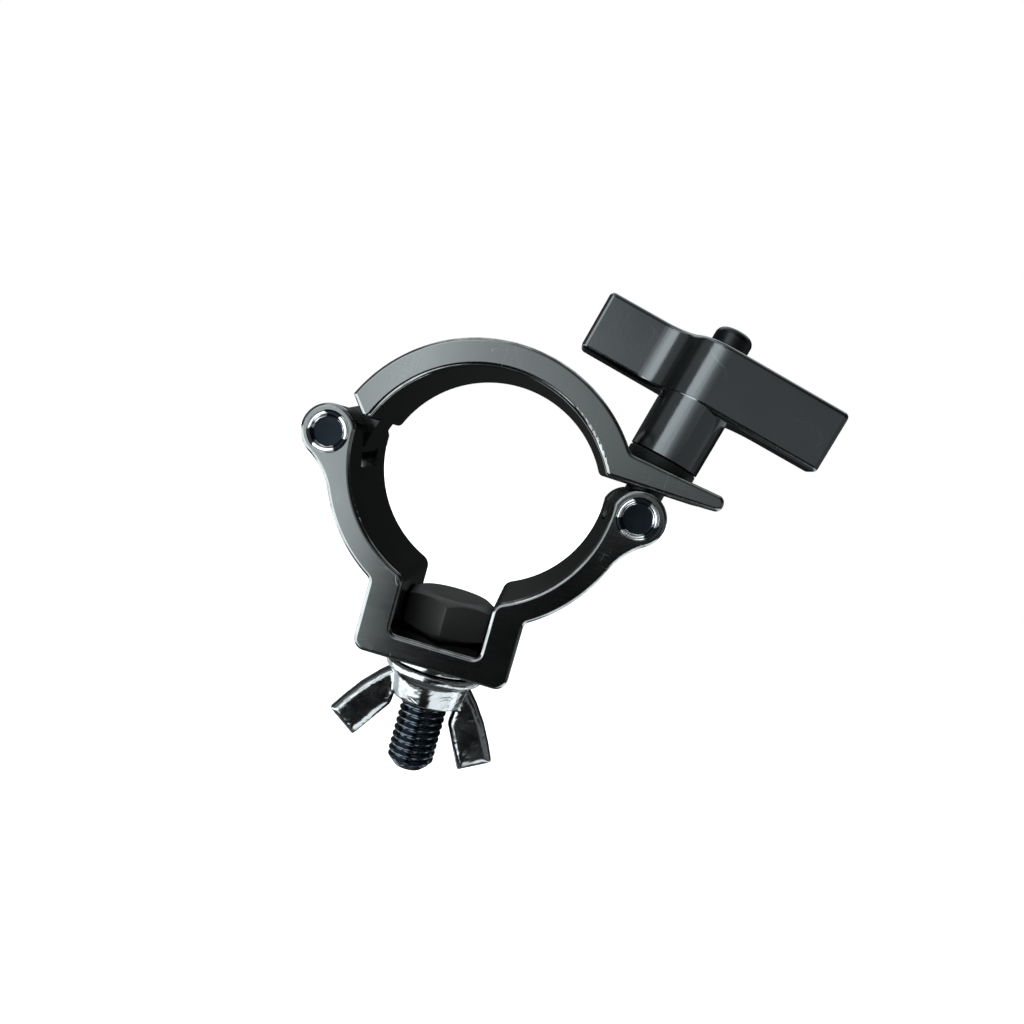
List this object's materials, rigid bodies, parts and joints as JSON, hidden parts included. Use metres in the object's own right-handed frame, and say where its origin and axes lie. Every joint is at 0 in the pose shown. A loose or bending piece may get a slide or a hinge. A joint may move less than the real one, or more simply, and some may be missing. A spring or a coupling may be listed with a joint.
{
  "type": "pipe clamp",
  "caption": "slim hinged tube clamp with an S-shaped screw handle on a swing bolt and an M10 bolt with a wing nut for hanging a stage fixture",
  "frame": {"origin": "centre of the lower half's tube seat, midway across the clamp's width", "axes": "+Y along the tube, +Z from the fixture bolt towards the tube, +X from the hinge towards the handle"},
  "size_m": [0.1015, 0.0304, 0.1075],
  "materials": {
    "clamp_black": "polished extrusion, black anodised",
    "handle_black": "smooth casting, dark grey coat",
    "rivet_steel": "blackened steel, burnished rim",
    "bolt_black": "black oxide",
    "washer_black": "dull black coat",
    "bright_steel": "bright zinc plate"
  },
  "bodies": {
    "lower_half": {"base": "clamp_black", "hinge_rivet": "rivet_steel", "swing_rivet": "rivet_steel", "fixture_bolt": "bolt_black"},
    "upper_jaw": {"jaw": "clamp_black"},
    "swing_bolt": {"swing_bolt": "bolt_black"},
    "pressure_washer": {"pressure_washer": "washer_black"},
    "handle": {"handle": "handle_black"},
    "bolt_washer": {"bolt_washer": "bright_steel"},
    "wing_nut": {"wing_nut": "bright_steel"}
  },
  "joints": [
    {"name": "jaw_hinge", "type": "hinge", "parent": "lower_half", "child": "upper_jaw", "pos_m": [-0.0307, 0, -0.0008], "axis": [0, -1, 0], "range_deg": [0, 7]},
    {"name": "swing_hinge", "type": "hinge", "parent": "lower_half", "child": "swing_bolt", "pos_m": [0.0307, 0, -0.0008], "axis": [0, 1, 0], "range_deg": [0, 80]},
    {"name": "handle_travel", "type": "slide", "parent": "swing_bolt", "child": "pressure_washer", "axis": [0.2419, 0, 0.9703], "range_m": [0, 0.02375]},
    {"name": "handle_turn", "type": "hinge", "parent": "pressure_washer", "child": "handle", "pos_m": [0.0307, 0, -0.0008], "axis": [0.2419, 0, 0.9703], "range_deg": [0, 6840]},
    {"name": "nut_travel", "type": "slide", "parent": "lower_half", "child": "bolt_washer", "axis": [0, 0, -1], "range_m": [0, 0.012]},
    {"name": "wing_nut_turn", "type": "hinge", "parent": "bolt_washer", "child": "wing_nut", "pos_m": [0, 0, -0.045], "axis": [0, 0, -1], "range_deg": [0, 2880]}
  ],
  "couplings": [
    {"joint": "handle_travel", "follows": "handle_turn", "m_per_rad": 0.00019894},
    {"joint": "swing_hinge", "follows": "handle_turn", "ratio": 0.011696},
    {"joint": "jaw_hinge", "follows": "handle_turn", "ratio": 0.0010234},
    {"joint": "nut_travel", "follows": "wing_nut_turn", "m_per_rad": 0.00023873}
  ]
}
